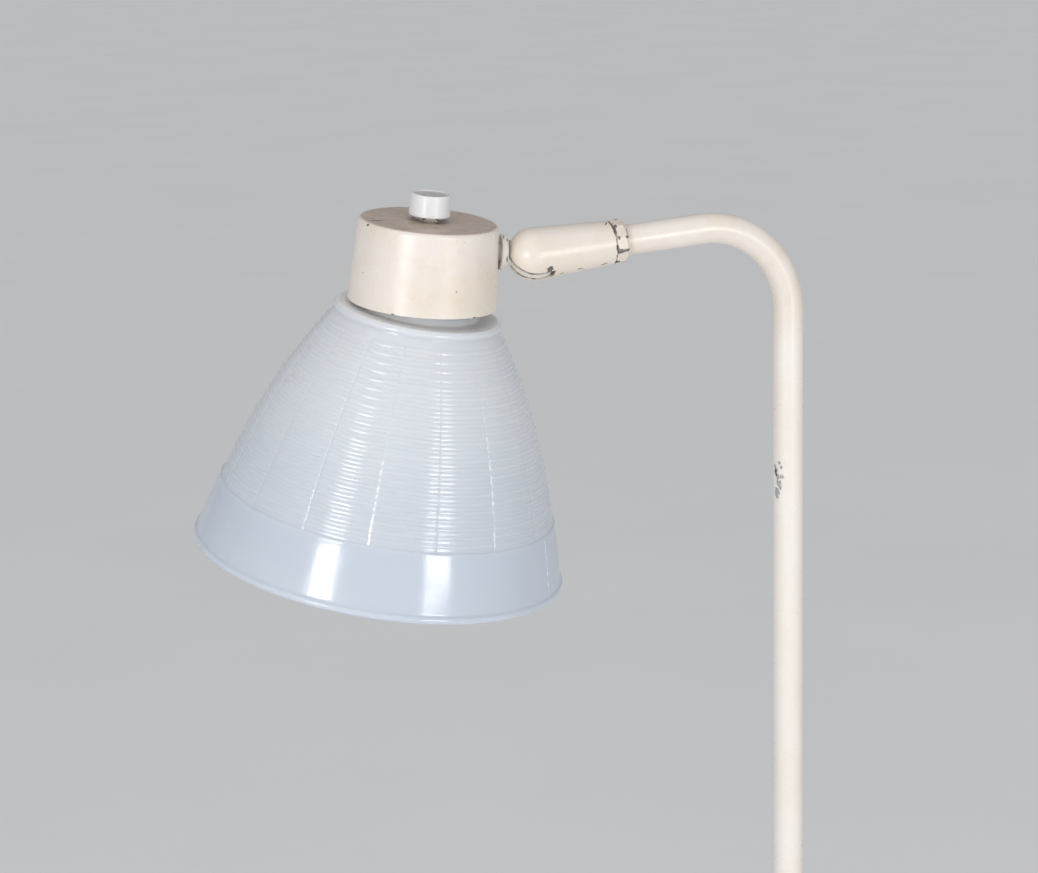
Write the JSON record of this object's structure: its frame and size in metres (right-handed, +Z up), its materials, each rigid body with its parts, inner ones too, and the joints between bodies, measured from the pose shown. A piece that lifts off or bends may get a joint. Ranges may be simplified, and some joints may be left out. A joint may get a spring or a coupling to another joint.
{
  "type": "examination lamp",
  "caption": "Floor-standing examination lamp: round base, telescoping stem with a bent arm, ball knuckle, rotary switch cup and a ribbed opal bell shade.",
  "frame": {"origin": "middle of the base's underside, on the floor", "axes": "+Z up along the column and stem; the bent arm reaches along -X"},
  "size_m": [0.4591, 0.28, 1.1526],
  "materials": {
    "cream_enamel": "glossy cream baked enamel on steel and cast iron, chipped to grey at edges",
    "bright_steel": "turned and zinc-plated steel",
    "chrome_nut": "polished chrome plate",
    "brass": "plain brass",
    "black_bakelite": "black moulded bakelite",
    "black_rubber": "black rubber, matte",
    "bush_plastic": "dark moulded nylon",
    "white_plastic": "cool white moulded plastic",
    "opal_plastic": "bluish-white translucent opal plastic, moulded ribs",
    "bulb_white": "opal-coated glass"
  },
  "bodies": {
    "stand": {"base_pad": "black_rubber", "base": "cream_enamel", "base_washer": "bright_steel", "base_nut": "bright_steel", "cable_grommet": "black_rubber", "column_spigot": "bright_steel", "column_tube": "cream_enamel", "clamp_collar": "cream_enamel", "guide_bush": "bush_plastic", "clamp_pad": "brass"},
    "clamp": {"clamp_screw": "bright_steel", "clamp_knob": "black_bakelite"},
    "carriage": {"slide_bush": "bush_plastic"},
    "stem": {"stem_end_plug": "bright_steel", "stem_circlip": "bright_steel", "arm_tube": "cream_enamel", "arm_spigot": "bright_steel", "lock_ring": "cream_enamel"},
    "knuckle": {"knuckle_fork": "cream_enamel", "pivot_screw": "bright_steel", "friction_washers": "brass", "swivel_grub_screw": "bright_steel"},
    "tongue": {"head_tongue": "cream_enamel", "tongue_washer": "bright_steel", "tongue_nut": "bright_steel"},
    "head": {"head_cup": "cream_enamel", "holder_bracket": "bright_steel", "switch_body": "black_bakelite", "switch_nut": "chrome_nut", "switch_leads": "black_rubber", "holder_body": "black_bakelite", "holder_screws": "bright_steel", "holder_sleeve": "black_bakelite", "thread_shell": "brass", "centre_contact": "brass", "shade": "opal_plastic", "shade_ring": "black_bakelite", "bulb_cap": "bright_steel", "bulb_glass": "bulb_white"},
    "switch": {"switch_shaft": "bright_steel", "switch_knob": "white_plastic"}
  },
  "joints": [
    {"name": "clamp_turn", "type": "hinge", "parent": "stand", "child": "clamp", "pos_m": [0.03, 0, 0.653], "axis": [1, 0, 0], "range_deg": [-360, 0]},
    {"name": "height_slide", "type": "slide", "parent": "stand", "child": "carriage", "axis": [0, 0, 1], "range_m": [-0.32, 0.16]},
    {"name": "stem_turn", "type": "hinge", "parent": "carriage", "child": "stem", "pos_m": [0, 0, 0.5], "axis": [0, 0, 1], "range_deg": [-170, 170]},
    {"name": "knuckle_swivel", "type": "hinge", "parent": "stem", "child": "knuckle", "pos_m": [-0.14155, 0, 1.11792], "axis": [-0.9968, 0, -0.0802], "range_deg": [-165, 165]},
    {"name": "head_tilt", "type": "hinge", "parent": "knuckle", "child": "tongue", "pos_m": [-0.14155, 0, 1.11792], "axis": [0.0516, 0.766, -0.6407], "range_deg": [-45, 72]},
    {"name": "head_swivel", "type": "hinge", "parent": "tongue", "child": "head", "pos_m": [-0.19616, 0.00827, 1.12341], "axis": [-0.9839, 0.149, 0.0989], "range_deg": [-150, 150]},
    {"name": "switch_turn", "type": "hinge", "parent": "head", "child": "switch", "pos_m": [-0.194, 0.00604, 1.14822], "axis": [0.0863, -0.0892, 0.9923], "continuous": true}
  ]
}
